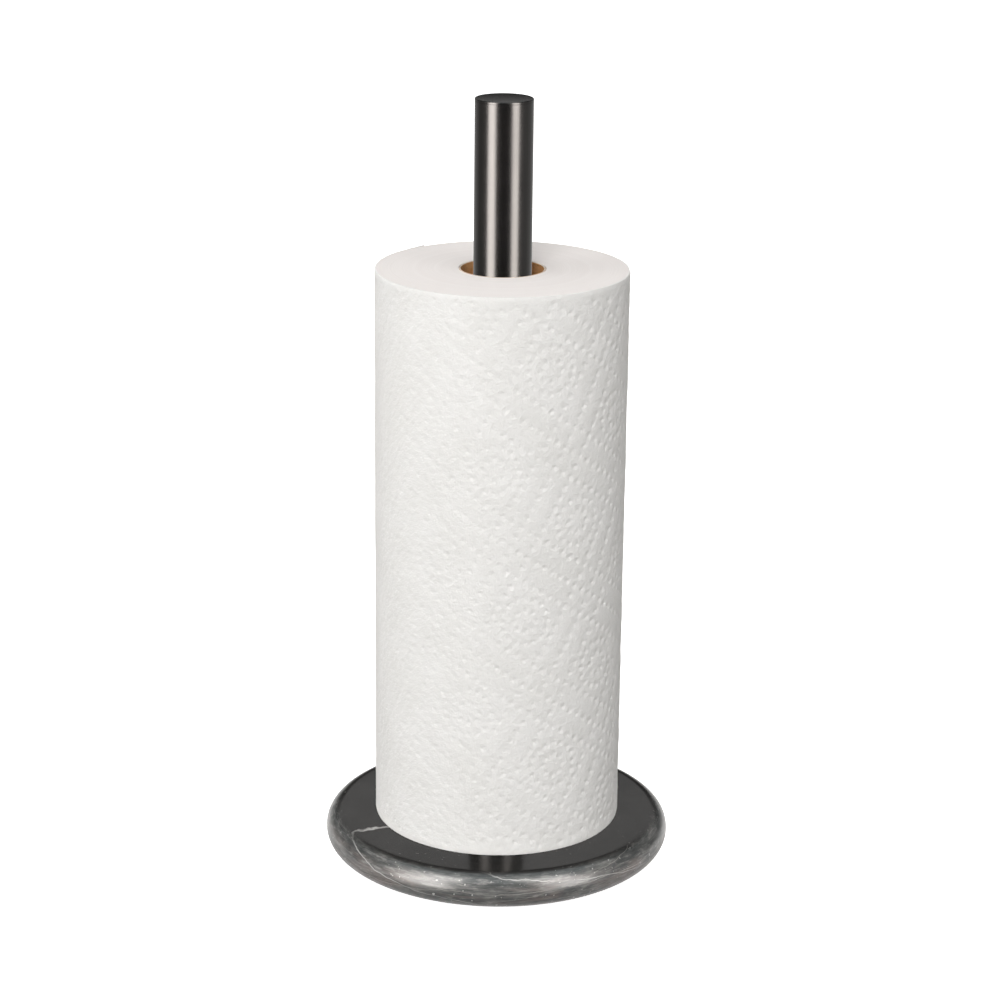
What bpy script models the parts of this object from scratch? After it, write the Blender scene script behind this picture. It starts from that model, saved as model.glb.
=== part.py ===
"""Paper towel holder: a round marble base, a steel post and a roll of paper towels.

The origin is on the counter, under the middle of the base, and +Z runs up the post.
The roll lifts off along the post and turns about it. Everything is in metres.
"""

import math

import bmesh
import bpy
from mathutils import Matrix, Vector

# Driving dimensions
HOLDER_HEIGHT = 0.382
BASE_DIAMETER = 0.173
BASE_THICKNESS = 0.0185
BASE_STANDOFF = 0.002
POST_DIAMETER = 0.028
POST_WALL = 0.0015
POST_SEAT_DEPTH = 0.003
ROLL_DIAMETER = 0.123
SHEET_HEIGHT = 0.2794
SHEET_LENGTH = 0.2794
SHEET_THICKNESS = 0.0005
CORE_BORE = 0.040
CORE_WALL = 0.0008

# Hardware under the post
BOLT_DIAMETER = 0.008
BOLT_LENGTH = 0.029
BOLT_HEAD_DIAMETER = 0.014
BOLT_HEAD_HEIGHT = 0.0044
BOLT_HEAD_RIM = 0.0011
BOLT_HEAD_FLAT = 0.0035
BOLT_TIP_CHAMFER = 0.0008
SOCKET_FLATS = 0.005
SOCKET_DEPTH = 0.0026
BOLT_HOLE_DIAMETER = 0.009
COUNTERBORE_DIAMETER = 0.024
COUNTERBORE_DEPTH = 0.010
FLAT_WASHER_DIAMETER = 0.022
FLAT_WASHER_THICKNESS = 0.0016
LOCK_WASHER_DIAMETER = 0.013
LOCK_WASHER_THICKNESS = 0.002
LOCK_WASHER_SPLIT = 0.001
LOCK_WASHER_SLANT = 20
WASHER_BORE = 0.0086
GASKET_THICKNESS = 0.001
PLUG_HEIGHT = 0.020
PLUG_CHAMFER = 0.0006

# Cap, feet and edges
CAP_FLANGE_THICKNESS = 0.0012
CAP_EDGE_RADIUS = 0.0006
CAP_SPIGOT_HEIGHT = 0.008
CAP_SPIGOT_WALL = 0.0015
FOOT_DIAMETER = 0.014
FOOT_HEIGHT = 0.0027
FOOT_EDGE_RADIUS = 0.0008
FOOT_RECESS_DEPTH = 0.001
FOOT_CIRCLE_RADIUS = 0.062
FOOT_COUNT = 4
FIRST_FOOT_ANGLE = 45
LOOSE_END_ANGLE = 129

GAP = 0.0003
BASE_STEPS = 96
BASE_EDGE_STEPS = 12
POST_STEPS = 64
HARDWARE_STEPS = 32
SMALL_EDGE_STEPS = 3
DOME_STEPS = 5
PAPER_STEP_ANGLE = 4
SMOOTH_ANGLE = 35
MERGE_DISTANCE = 1e-6

# Heights that follow from them
BASE_TOP = BASE_STANDOFF + BASE_THICKNESS
POST_RADIUS = POST_DIAMETER / 2
TUBE_BORE_RADIUS = POST_RADIUS - POST_WALL
SEAT_FLOOR = BASE_TOP - POST_SEAT_DEPTH
GASKET_BOTTOM = SEAT_FLOOR + GAP
TUBE_BOTTOM = GASKET_BOTTOM + GASKET_THICKNESS + GAP
CAP_FLANGE_BOTTOM = HOLDER_HEIGHT - CAP_FLANGE_THICKNESS
TUBE_TOP = CAP_FLANGE_BOTTOM - GAP
FOOT_RECESS_TOP = BASE_STANDOFF + FOOT_RECESS_DEPTH
COUNTERBORE_TOP = BASE_STANDOFF + COUNTERBORE_DEPTH
FLAT_WASHER_BOTTOM = COUNTERBORE_TOP - GAP - FLAT_WASHER_THICKNESS
LOCK_WASHER_BOTTOM = FLAT_WASHER_BOTTOM - GAP - LOCK_WASHER_THICKNESS
BOLT_HEAD_TOP = LOCK_WASHER_BOTTOM - GAP
ROLL_BOTTOM = BASE_TOP + GAP
ROLL_TOP = ROLL_BOTTOM + SHEET_HEIGHT
ROLL_RADIUS = ROLL_DIAMETER / 2
CORE_OUTER_RADIUS = CORE_BORE / 2 + CORE_WALL
SHEET_ANGLE = SHEET_LENGTH / ROLL_RADIUS
GAP_ANGLE = GAP / ROLL_RADIUS


def clear_scene():
    """Removes whatever the scene holds at the start."""
    for obj in list(bpy.data.objects):
        bpy.data.objects.remove(obj, do_unlink=True)


def make_material(name, color, roughness, metallic=0.0):
    """A Principled BSDF material with one colour."""
    material = bpy.data.materials.new(name)
    material.use_nodes = True
    shader = material.node_tree.nodes["Principled BSDF"]
    shader.inputs["Base Color"].default_value = (*color, 1.0)
    shader.inputs["Roughness"].default_value = roughness
    shader.inputs["Metallic"].default_value = metallic
    material.diffuse_color = (*color, 1.0)
    return material


def make_body(name):
    """An empty on the post's axis, which carries the pieces of one rigid body."""
    empty = bpy.data.objects.new(name, None)
    bpy.context.scene.collection.objects.link(empty)
    return empty


def add_piece(name, mesh, material, body, location=(0, 0, 0)):
    """Puts a mesh into the scene as one named piece of a body."""
    if not mesh.materials:
        mesh.materials.append(material)
    piece = bpy.data.objects.new(name, mesh)
    piece.location = location
    piece.parent = body
    bpy.context.scene.collection.objects.link(piece)
    return piece


def finish_mesh(name, bm):
    """Turns a bmesh into a mesh with its faces pointing out and its round faces smooth."""
    bmesh.ops.recalc_face_normals(bm, faces=bm.faces[:])
    mesh = bpy.data.meshes.new(name)
    bm.to_mesh(mesh)
    bm.free()
    mesh.shade_smooth()
    mesh.set_sharp_from_angle(angle=math.radians(SMOOTH_ANGLE))
    return mesh


def turned_mesh(name, profile, steps):
    """Spins a closed outline of (radius, height) points about Z."""
    bm = bmesh.new()
    points = [bm.verts.new((radius, 0, height)) for radius, height in profile]
    edges = [
        bm.edges.new((start, end))
        for start, end in zip(points, points[1:] + points[:1])
        if start.co.x > 0 or end.co.x > 0
    ]
    bmesh.ops.spin(
        bm,
        geom=points + edges,
        cent=(0, 0, 0),
        axis=(0, 0, 1),
        angle=math.tau,
        steps=steps,
        use_merge=True,
    )
    bmesh.ops.remove_doubles(bm, verts=bm.verts[:], dist=MERGE_DISTANCE)
    return finish_mesh(name, bm)


def arc(center_radius, center_height, radius, start, end, steps):
    """Points of an outline along a round edge, with angles in degrees from the outward side."""
    points = []
    for step in range(steps + 1):
        angle = math.radians(start + (end - start) * step / steps)
        points.append((center_radius + radius * math.cos(angle), center_height + radius * math.sin(angle)))
    return points


def ring_profile(inner_radius, outer_radius, bottom, top):
    """The outline of a plain ring."""
    return [(inner_radius, bottom), (outer_radius, bottom), (outer_radius, top), (inner_radius, top)]


def cut_away(piece, name, mesh, matrix):
    """Cuts a shape out of a piece with a Boolean. The cutter isn't part of the object."""
    cutter = bpy.data.objects.new(name, mesh)
    cutter.matrix_world = matrix
    cutter.hide_render = True
    cutter.display_type = "WIRE"
    bpy.context.scene.collection.objects.link(cutter)
    modifier = piece.modifiers.new(name, "BOOLEAN")
    modifier.operation = "DIFFERENCE"
    modifier.solver = "EXACT"
    modifier.object = cutter


def foot_positions():
    """The middle of each foot, on a circle near the edge of the base."""
    for index in range(FOOT_COUNT):
        angle = math.radians(FIRST_FOOT_ANGLE) + index * math.tau / FOOT_COUNT
        yield Vector((FOOT_CIRCLE_RADIUS * math.cos(angle), FOOT_CIRCLE_RADIUS * math.sin(angle), 0))


def build_marble_base(body, material):
    """A disc with a fully rounded edge, a seat for the post and a counterbored bolt hole."""
    edge_radius = BASE_THICKNESS / 2
    seat_radius = POST_RADIUS + GAP
    profile = [
        (seat_radius, BASE_TOP),
        (seat_radius, SEAT_FLOOR),
        (BOLT_HOLE_DIAMETER / 2, SEAT_FLOOR),
        (BOLT_HOLE_DIAMETER / 2, COUNTERBORE_TOP),
        (COUNTERBORE_DIAMETER / 2, COUNTERBORE_TOP),
        (COUNTERBORE_DIAMETER / 2, BASE_STANDOFF),
    ]
    edge_middle = BASE_STANDOFF + edge_radius
    profile += arc(BASE_DIAMETER / 2 - edge_radius, edge_middle, edge_radius, -90, 90, BASE_EDGE_STEPS)
    base = add_piece("marble_base", turned_mesh("marble_base", profile, BASE_STEPS), material, body)
    recess_bottom = BASE_STANDOFF - FOOT_RECESS_DEPTH
    recess_profile = [
        (0, recess_bottom),
        (FOOT_DIAMETER / 2 + GAP, recess_bottom),
        (FOOT_DIAMETER / 2 + GAP, FOOT_RECESS_TOP),
        (0, FOOT_RECESS_TOP),
    ]
    recess = turned_mesh("foot_recess", recess_profile, HARDWARE_STEPS)
    for number, place in enumerate(foot_positions(), start=1):
        cut_away(base, f"foot_recess_{number}", recess, Matrix.Translation(place))


def build_rubber_feet(body, material):
    """Four round feet, each glued into its recess under the base."""
    edge_middle = FOOT_DIAMETER / 2 - FOOT_EDGE_RADIUS
    profile = [(0, FOOT_HEIGHT), (0, 0)]
    profile += arc(edge_middle, FOOT_EDGE_RADIUS, FOOT_EDGE_RADIUS, -90, 0, SMALL_EDGE_STEPS)
    profile.append((FOOT_DIAMETER / 2, FOOT_HEIGHT))
    mesh = turned_mesh("rubber_foot", profile, HARDWARE_STEPS)
    for number, place in enumerate(foot_positions(), start=1):
        add_piece(f"rubber_foot_{number}", mesh, material, body, place)


def build_post_tube(body, material):
    """A straight tube, open at both ends."""
    profile = ring_profile(TUBE_BORE_RADIUS, POST_RADIUS, TUBE_BOTTOM, TUBE_TOP)
    add_piece("post_tube", turned_mesh("post_tube", profile, POST_STEPS), material, body)


def build_post_cap(body, material):
    """A flat cap, flush with the tube, with a hollow spigot that presses into it."""
    spigot_radius = TUBE_BORE_RADIUS - GAP
    spigot_bottom = CAP_FLANGE_BOTTOM - CAP_SPIGOT_HEIGHT
    edge_height = HOLDER_HEIGHT - CAP_EDGE_RADIUS
    profile = [
        (0, HOLDER_HEIGHT),
        (0, CAP_FLANGE_BOTTOM),
        (spigot_radius - CAP_SPIGOT_WALL, CAP_FLANGE_BOTTOM),
        (spigot_radius - CAP_SPIGOT_WALL, spigot_bottom),
        (spigot_radius, spigot_bottom),
        (spigot_radius, CAP_FLANGE_BOTTOM),
        (POST_RADIUS, CAP_FLANGE_BOTTOM),
    ]
    profile += arc(POST_RADIUS - CAP_EDGE_RADIUS, edge_height, CAP_EDGE_RADIUS, 0, 90, SMALL_EDGE_STEPS)
    add_piece("post_cap", turned_mesh("post_cap", profile, POST_STEPS), material, body)


def build_foot_plug(body, material):
    """The plug in the bottom of the tube, with the bore that takes the bolt."""
    outer_radius = TUBE_BORE_RADIUS - GAP
    top = TUBE_BOTTOM + PLUG_HEIGHT
    profile = [
        (WASHER_BORE / 2, top),
        (WASHER_BORE / 2, TUBE_BOTTOM),
        (outer_radius, TUBE_BOTTOM),
        (outer_radius, top - PLUG_CHAMFER),
        (outer_radius - PLUG_CHAMFER, top),
    ]
    add_piece("foot_plug", turned_mesh("foot_plug", profile, HARDWARE_STEPS), material, body)


def build_post_gasket(body, material):
    """The soft ring between the tube's end and the floor of its seat."""
    top = GASKET_BOTTOM + GASKET_THICKNESS
    profile = ring_profile(BOLT_HOLE_DIAMETER / 2, POST_RADIUS, GASKET_BOTTOM, top)
    add_piece("post_gasket", turned_mesh("post_gasket", profile, HARDWARE_STEPS), material, body)


def build_clamp_bolt(body, material):
    """A button-head bolt with a hexagon socket. It points up, so its head is at the bottom."""
    head_radius = BOLT_HEAD_DIAMETER / 2
    shank_radius = BOLT_DIAMETER / 2
    head_bottom = BOLT_HEAD_TOP - BOLT_HEAD_HEIGHT
    rim_height = BOLT_HEAD_TOP - BOLT_HEAD_RIM
    tip = BOLT_HEAD_TOP + BOLT_LENGTH
    profile = [
        (0, tip),
        (0, head_bottom),
        (BOLT_HEAD_FLAT, head_bottom),
    ]
    for step in range(1, DOME_STEPS + 1):
        turn = step / DOME_STEPS * math.pi / 2
        dome_radius = BOLT_HEAD_FLAT + (head_radius - BOLT_HEAD_FLAT) * math.sin(turn)
        profile.append((dome_radius, rim_height - (rim_height - head_bottom) * math.cos(turn)))
    profile += [
        (head_radius, BOLT_HEAD_TOP),
        (shank_radius, BOLT_HEAD_TOP),
        (shank_radius, tip - BOLT_TIP_CHAMFER),
        (shank_radius - BOLT_TIP_CHAMFER, tip),
    ]
    bolt = add_piece("clamp_bolt", turned_mesh("clamp_bolt", profile, HARDWARE_STEPS), material, body)
    bm = bmesh.new()
    corner_radius = SOCKET_FLATS / math.sqrt(3)
    bmesh.ops.create_cone(
        bm,
        cap_ends=True,
        segments=6,
        radius1=corner_radius,
        radius2=corner_radius,
        depth=2 * SOCKET_DEPTH,
    )
    cut_away(bolt, "hex_socket", finish_mesh("hex_socket", bm), Matrix.Translation((0, 0, head_bottom)))


def build_washers(body, material):
    """A flat washer against the marble, and a split spring washer under the bolt's head."""
    flat_top = FLAT_WASHER_BOTTOM + FLAT_WASHER_THICKNESS
    flat_profile = ring_profile(WASHER_BORE / 2, FLAT_WASHER_DIAMETER / 2, FLAT_WASHER_BOTTOM, flat_top)
    add_piece("flat_washer", turned_mesh("flat_washer", flat_profile, HARDWARE_STEPS), material, body)

    lock_top = LOCK_WASHER_BOTTOM + LOCK_WASHER_THICKNESS
    lock_profile = ring_profile(WASHER_BORE / 2, LOCK_WASHER_DIAMETER / 2, LOCK_WASHER_BOTTOM, lock_top)
    lock_mesh = turned_mesh("lock_washer", lock_profile, HARDWARE_STEPS)
    lock_washer = add_piece("lock_washer", lock_mesh, material, body)
    bm = bmesh.new()
    bmesh.ops.create_cube(bm, size=1.0)
    split_size = (LOCK_WASHER_DIAMETER, LOCK_WASHER_SPLIT, 2 * LOCK_WASHER_THICKNESS)
    bmesh.ops.scale(bm, vec=split_size, verts=bm.verts[:])
    middle = LOCK_WASHER_BOTTOM + LOCK_WASHER_THICKNESS / 2
    place = Matrix.Translation((LOCK_WASHER_DIAMETER / 2, 0, middle))
    slant = Matrix.Rotation(math.radians(LOCK_WASHER_SLANT), 4, "X")
    cut_away(lock_washer, "washer_split", finish_mesh("washer_split", bm), place @ slant)


def build_cardboard_core(body, material):
    """The tube that the paper is wound on."""
    profile = ring_profile(CORE_BORE / 2, CORE_OUTER_RADIUS, ROLL_BOTTOM, ROLL_TOP)
    add_piece("cardboard_core", turned_mesh("cardboard_core", profile, POST_STEPS), material, body)


def last_turn_radius(angle):
    """The outside of the paper's last turn, at an angle in radians from the loose end."""
    return ROLL_RADIUS - SHEET_THICKNESS * angle / math.tau


def paper_mesh(name, stations, closed):
    """Stands up a wall from (angle, inner radius, outer radius) stations, one sheet's height tall."""
    bm = bmesh.new()
    start = math.radians(LOOSE_END_ANGLE)
    pairs = []
    for angle, inner_radius, outer_radius in stations:
        direction = Vector((math.cos(start + angle), math.sin(start + angle), 0))
        foot = Vector((0, 0, ROLL_BOTTOM))
        inner = bm.verts.new(foot + direction * inner_radius)
        outer = bm.verts.new(foot + direction * outer_radius)
        pairs.append((inner, outer))
    following = pairs[1:] + pairs[:1] if closed else pairs[1:]
    for (inner, outer), (next_inner, next_outer) in zip(pairs, following):
        bm.faces.new((inner, outer, next_outer, next_inner))
    wall = bmesh.ops.extrude_face_region(bm, geom=bm.faces[:])
    raised = [item for item in wall["geom"] if isinstance(item, bmesh.types.BMVert)]
    bmesh.ops.translate(bm, vec=(0, 0, SHEET_HEIGHT), verts=raised)
    return finish_mesh(name, bm)


def angles_between(start, end):
    """Evenly spaced angles from start to end, in radians, no further apart than one paper step."""
    count = math.ceil((end - start) / math.radians(PAPER_STEP_ANGLE))
    return [start + (end - start) * step / count for step in range(count + 1)]


def build_wound_paper(body, material):
    """The paper under the last sheet. Past the last sheet's perforation, its own last turn shows."""
    bore = CORE_OUTER_RADIUS + GAP
    stations = []
    for angle in angles_between(-GAP_ANGLE, SHEET_ANGLE):
        stations.append((angle, bore, last_turn_radius(angle) - SHEET_THICKNESS - GAP))
    for angle in angles_between(SHEET_ANGLE + GAP_ANGLE, math.tau - 2 * GAP_ANGLE):
        stations.append((angle, bore, last_turn_radius(angle)))
    add_piece("wound_paper", paper_mesh("wound_paper", stations, closed=True), material, body)


def build_outer_sheet(body, material):
    """The last sheet, which lies round the roll from its loose end to its perforation."""
    stations = []
    for angle in angles_between(0, SHEET_ANGLE - GAP_ANGLE):
        outside = last_turn_radius(angle)
        stations.append((angle, outside - SHEET_THICKNESS, outside))
    add_piece("outer_sheet", paper_mesh("outer_sheet", stations, closed=False), material, body)


def main():
    clear_scene()
    holder = make_body("holder_body")
    core = make_body("roll_core_body")
    paper = make_body("paper_roll_body")

    marble = make_material("dark_marble", (0.075, 0.072, 0.070), 0.25)
    gunmetal = make_material("gunmetal_steel", (0.050, 0.048, 0.047), 0.30, metallic=1.0)
    zinc = make_material("zinc_plated_steel", (0.55, 0.56, 0.58), 0.35, metallic=1.0)
    rubber = make_material("black_rubber", (0.020, 0.020, 0.021), 0.80)
    cardboard = make_material("brown_cardboard", (0.40, 0.24, 0.13), 0.90)
    towel = make_material("white_paper", (0.86, 0.855, 0.84), 0.90)

    build_marble_base(holder, marble)
    build_rubber_feet(holder, rubber)
    build_post_tube(holder, gunmetal)
    build_post_cap(holder, gunmetal)
    build_foot_plug(holder, zinc)
    build_post_gasket(holder, rubber)
    build_clamp_bolt(holder, zinc)
    build_washers(holder, zinc)
    build_cardboard_core(core, cardboard)
    build_wound_paper(paper, towel)
    build_outer_sheet(paper, towel)


main()
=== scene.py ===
import math
import random

import bmesh
import bpy
from mathutils import Matrix, Vector, kdtree, noise
from mathutils.geometry import delaunay_2d_cdt


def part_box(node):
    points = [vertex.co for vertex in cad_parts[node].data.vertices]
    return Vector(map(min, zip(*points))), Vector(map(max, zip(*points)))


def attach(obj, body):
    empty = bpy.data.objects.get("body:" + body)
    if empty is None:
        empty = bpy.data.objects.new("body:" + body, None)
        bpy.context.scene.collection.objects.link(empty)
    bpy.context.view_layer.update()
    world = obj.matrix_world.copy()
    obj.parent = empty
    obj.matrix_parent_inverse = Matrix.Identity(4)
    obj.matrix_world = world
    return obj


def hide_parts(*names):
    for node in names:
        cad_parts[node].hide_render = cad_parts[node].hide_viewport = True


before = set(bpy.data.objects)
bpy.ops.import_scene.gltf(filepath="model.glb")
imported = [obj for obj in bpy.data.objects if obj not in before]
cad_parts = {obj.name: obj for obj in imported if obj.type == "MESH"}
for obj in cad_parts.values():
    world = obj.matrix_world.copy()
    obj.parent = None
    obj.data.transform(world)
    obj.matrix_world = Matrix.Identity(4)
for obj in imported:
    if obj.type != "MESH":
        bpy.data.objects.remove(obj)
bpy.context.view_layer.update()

MM = 0.001

# Distances too small to matter: between points that are one, and between a vertex and a place looked for
MERGE_DISTANCE = 1e-7
SLIVER = 0.001 * MM
PLACE_TOLERANCE = 0.01 * MM

# Camera: in front and a little above, leaning by a fraction of a degree. Angles in radians.
CAMERA_PLACE = (0.0, -1.300, 0.5985)
CAMERA_PITCH = 0.309
CAMERA_ROLL = 0.011
CAMERA_LENS = 99.9
SENSOR_WIDTH = 36.0

# Embossing: triple rows of pits on a turned, nearly square lattice, with a rosette in each open cell
FALLING_STEP = Vector((4.25 * MM, -2.85 * MM))
RISING_STEP = Vector((2.70 * MM, 4.70 * MM))
FIRST_ROSETTE = Vector((-2.9 * MM, 217.5 * MM))
CELL_STEPS = 10
ROW_STEPS = (3, 5, 7)
ROSETTE_RINGS = ((11.4 * MM, 16), (5.4 * MM, 8))
PIT_DEPTH = 0.26 * MM
PIT_REACH = 1.98 * MM
PIT_RINGS = (0.66 * MM, 1.32 * MM, PIT_REACH)
PIT_SIDES = 8
PUFF_HEIGHT = 0.13 * MM
PUFF_REACH = 4.5 * MM
WAVE_HEIGHT = 0.16 * MM
WAVE_LENGTH = 16.0 * MM
SURFACE_DROP = 0.05 * MM

# How deep the embossing is at the left of the front and at its right, and the turn from one to the other
PRESSED_SHARE = 0.5
PROUD_SHARE = 1.36
PRESSING_TURN = math.radians(105)

# Mesh points between the pits and at the paper's upper and lower edges
FILL_SPACING = 1.8 * MM
FILL_CLEARANCE = 2.4 * MM
FILL_MARGIN = 0.6  # of the spacing
FILL_SCATTER = 0.3  # of the spacing, each way
HIDDEN_SPACING = 7.0 * MM
EDGE_SPACING = 1.5 * MM
EDGE_ROUNDING = 1.2 * MM
EDGE_DROP = 0.25 * MM
EDGE_ROWS = ((0.4, 0.25), (1.0, 0.75))  # how far in, of the rounding, and how far along, of the spacing

# The last sheet of the web: how thick it looks, how its loose end lifts, how its ends are perforated
SHEET_THICKNESS = 0.45 * MM
TAIL_LENGTH = 17.0 * MM
TAIL_LIFT = 1.3 * MM
TAIL_WAVER = 0.5
BOND_PITCH = 6.0 * MM
BOND_SHARE = 0.3
SLIT_WIDTH = 0.35 * MM

# Ends of the roll
END_RINGS = 26
END_WAVE = 0.12 * MM
END_WAVE_LENGTH = 2.0 * MM
END_MATERIAL = 1

# Cardboard core
SEAM_PITCH = 92.0 * MM
SEAM_WIDTH = 1.1 * MM
SEAM_DEPTH = 0.16 * MM
CORE_STEPS = 120
CORE_ROW_HEIGHT = 2.0 * MM
CORE_EDGE = 0.2 * MM

# Turned pieces: steps round the axis, steps over a rounding, and how round the edges are
LATHE_STEPS = 128
BASE_STEPS = 192
FOOT_STEPS = 64
NOSE_STEPS = 32
ROUNDING_STEPS = 8
EDGE_STEPS = 4
STONE_EDGE = 0.35 * MM
METAL_EDGE = 0.2 * MM
RUBBER_EDGE = 0.3 * MM
CAP_ROUNDING = 0.55 * MM
SEAM_EDGE = 0.06 * MM
SEAM_GAP = 0.05 * MM

# Faces that meet at more than this many degrees keep a sharp edge between them
SHARP_DEGREES = 40
SHARP_DEGREES_WHERE_CUT = 30

# Moulded feet, each in a recess of the stone, with a shallow dish underneath
FOOT_CLEARANCE = 0.3 * MM
FOOT_ROUNDING = 0.8 * MM
DISH_DEPTH = 0.4 * MM
DISH_LIP = 0.04 * MM
DISH_FLOOR_SHARE = 0.45
DISH_SHARE = 0.6

# Veins in the stone, each a wavering plane: the way it faces, its distance from the origin, half width
# and colour. The first crosses the edge and the left of the top, and fades out to the right of the middle.
THROUGH_VEIN = ((0.0815, -0.2003, 0.9764), 20.97 * MM, 0.30 * MM, (0.58, 0.57, 0.55))
EDGE_VEINS = (
    ((-0.04, 0.06, 0.997), 6.9 * MM, 0.16 * MM, (0.46, 0.43, 0.40)),
    ((0.10, 0.05, 0.993), 15.4 * MM, 0.24 * MM, (0.50, 0.49, 0.47)),
    ((-0.16, -0.06, 0.985), 12.6 * MM, 0.12 * MM, (0.38, 0.36, 0.34)),
)
MEAN_UNEVENNESS = 3.95 * MM
VEIN_FADE = 30.0 * MM

# Clamp bolt
THREAD_PITCH = 1.25 * MM
THREAD_DEPTH = 0.55 * MM
THREAD_STEPS = 48
THREAD_ROWS = 8  # in each pitch
FLANK_SLOPE = 1.5
FLANK_OFFSET = 0.25
HEAD_ROUNDING = 2.2 * MM
HEAD_FLAT_SHARE = 0.45
HEAD_ARC_START = -75
SOCKET_SIDES = 6
SOCKET_FLATS = 5.0 * MM
SOCKET_DEPTH = 2.6 * MM
SOCKET_POINT = 0.6 * MM

# The CAD nodes that stay in view, and their slots
KEPT_NODES = {"lock_washer": "zinc_plated_steel"}

# The factor and the two colours among a Mix node's inputs, and the colour among its outputs
MIX_INPUTS = (0, 6, 7)
MIX_OUTPUT = 2

# Studio
FLOOR_SIZE = 120.0
FLOOR_GLOW = 0.95
SUN_STRENGTH = 1.2
SUN_SPREAD = math.radians(110)
WORLD_COLOUR = (1.0, 0.98, 0.96)
WORLD_STRENGTH = 0.15

# Large softboxes that light the matt surfaces: name, bearing from the front in degrees, level, watts
FILL_DISTANCE = 2.2
FILL_SIZE = (1.0, 1.6)
FILL_AIM = (0, 0, 0.15)
FILL_COLOUR = (1, 1, 1)
FILL_BOXES = (
    ("far_left_fill", -120, 0.9, 3.6),
    ("left_fill", -80, 0.9, 16.1),
    ("left_front_fill", -45, 0.9, 1.9),
    ("front_fill", -10, 0.9, 24.1),
    ("right_fill", 60, 0.9, 9.0),
    ("high_front_fill", -15, 2.6, 23.6),
    ("high_right_fill", 40, 2.6, 2.5),
)

# Softboxes that only polished surfaces mirror: name, place, size, the point they face, radiance, colour
WARM = (1.0, 0.96, 0.93)
COOL = (0.90, 1.0, 1.03)
NEUTRAL = (1.0, 0.985, 0.97)
MIRRORED_BOXES = (
    ("left_strip", (-0.62, -0.582, 0.78), (0.46, 1.66), (0, 0, 0.78), 16.5, WARM),
    ("right_strip", (0.617, -0.585, 0.78), (0.41, 1.66), (0, 0, 0.78), 14.2, WARM),
    ("overhead_sheet", (0, -0.50, 1.60), (2.2, 2.2), (0, -0.50, 0), 1.5, COOL),
    ("low_backdrop", (0, 2.5, -0.45), (10.0, 1.4), (0, 0, -0.45), 0.65, NEUTRAL),
    ("high_backdrop", (0, 2.5, 1.45), (5.0, 1.0), (0, 0, 1.45), 0.45, NEUTRAL),
    ("left_wall", (-2.5, 0, 0), (2.6, 3.0), (0, 0, 0), 0.40, NEUTRAL),
    ("right_wall", (2.5, 0, 0), (2.6, 3.0), (0, 0, 0), 0.62, NEUTRAL),
    ("front_glow", (0, -2.4, 0), (1.2, 1.6), (0, 0, 0), 0.12, NEUTRAL),
    ("table_card", (0, 0, -0.03), (1.3, 1.3), (0, 0, 1), 1.0, NEUTRAL),
)


# ---------------------------------------------------------------- places taken from the frame

def distances(node):
    """Distances from the axis of a CAD node's vertices."""
    return [math.hypot(vertex.co.x, vertex.co.y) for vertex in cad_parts[node].data.vertices]


def heights(node):
    """The lowest and the highest level of a CAD node."""
    low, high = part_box(node)
    return low.z, high.z


def radii_at(node, height):
    """Distances from the axis of a CAD node's vertices at one height."""
    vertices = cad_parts[node].data.vertices
    return [math.hypot(v.co.x, v.co.y) for v in vertices if abs(v.co.z - height) < PLACE_TOLERANCE]


def heights_at(node, radius):
    """Heights of a CAD node's vertices at one distance from the axis."""
    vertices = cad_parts[node].data.vertices
    return [v.co.z for v in vertices if abs(math.hypot(v.co.x, v.co.y) - radius) < PLACE_TOLERANCE]


def angle_of_vertex(node, pick):
    """Angle about the axis of the vertex whose distance from the axis is picked, in 0 to a full turn."""
    found = pick(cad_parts[node].data.vertices, key=lambda v: math.hypot(v.co.x, v.co.y))
    return math.atan2(found.co.y, found.co.x) % math.tau


ROLL_BOTTOM, ROLL_TOP = heights("outer_sheet")
ROLL_RADIUS = max(distances("outer_sheet"))
BORE_RADIUS = min(distances("wound_paper"))
LOOSE_ANGLE = angle_of_vertex("outer_sheet", max)
PERFORATION_ANGLE = angle_of_vertex("outer_sheet", min)
SHEET_TURN = (PERFORATION_ANGLE - LOOSE_ANGLE) % math.tau
SHEET_LENGTH = SHEET_TURN * ROLL_RADIUS
TURN_LENGTH = math.tau * ROLL_RADIUS
TURN_PITCH = (ROLL_RADIUS - min(distances("outer_sheet"))) / (1 + SHEET_TURN / math.tau)
FRONT_ALONG = ((1.5 * math.pi - LOOSE_ANGLE) % math.tau) * ROLL_RADIUS


# ---------------------------------------------------------------- mesh tools

def add_piece(mesh, body, nodes, slot, *materials):
    """Makes an object of a mesh, riding on a body and standing for CAD nodes."""
    piece = bpy.data.objects.new(mesh.name, mesh)
    bpy.context.scene.collection.objects.link(piece)
    for material in materials:
        mesh.materials.append(material)
    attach(piece, body)
    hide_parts(*nodes)
    return piece


def hide_from_reflections(piece):
    """Keeps paper and board out of the reflections in steel and stone, where the photo shows none."""
    piece.visible_glossy = False


def smoothed(mesh, sharp_degrees=SHARP_DEGREES):
    mesh.shade_smooth()
    mesh.set_sharp_from_angle(angle=math.radians(sharp_degrees))
    return mesh


def mesh_of(bm, name):
    """Turns a bmesh into a smoothly shaded mesh, with its faces facing out."""
    bmesh.ops.recalc_face_normals(bm, faces=bm.faces[:])
    mesh = bpy.data.meshes.new(name)
    bm.to_mesh(mesh)
    bm.free()
    return smoothed(mesh)


def arc(centre, radius, start, end, steps):
    """Points (distance from the axis, height) on an arc, with its angles in degrees."""
    angles = [math.radians(start + (end - start) * step / steps) for step in range(steps + 1)]
    return [(centre[0] + radius * math.cos(a), centre[1] + radius * math.sin(a)) for a in angles]


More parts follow.
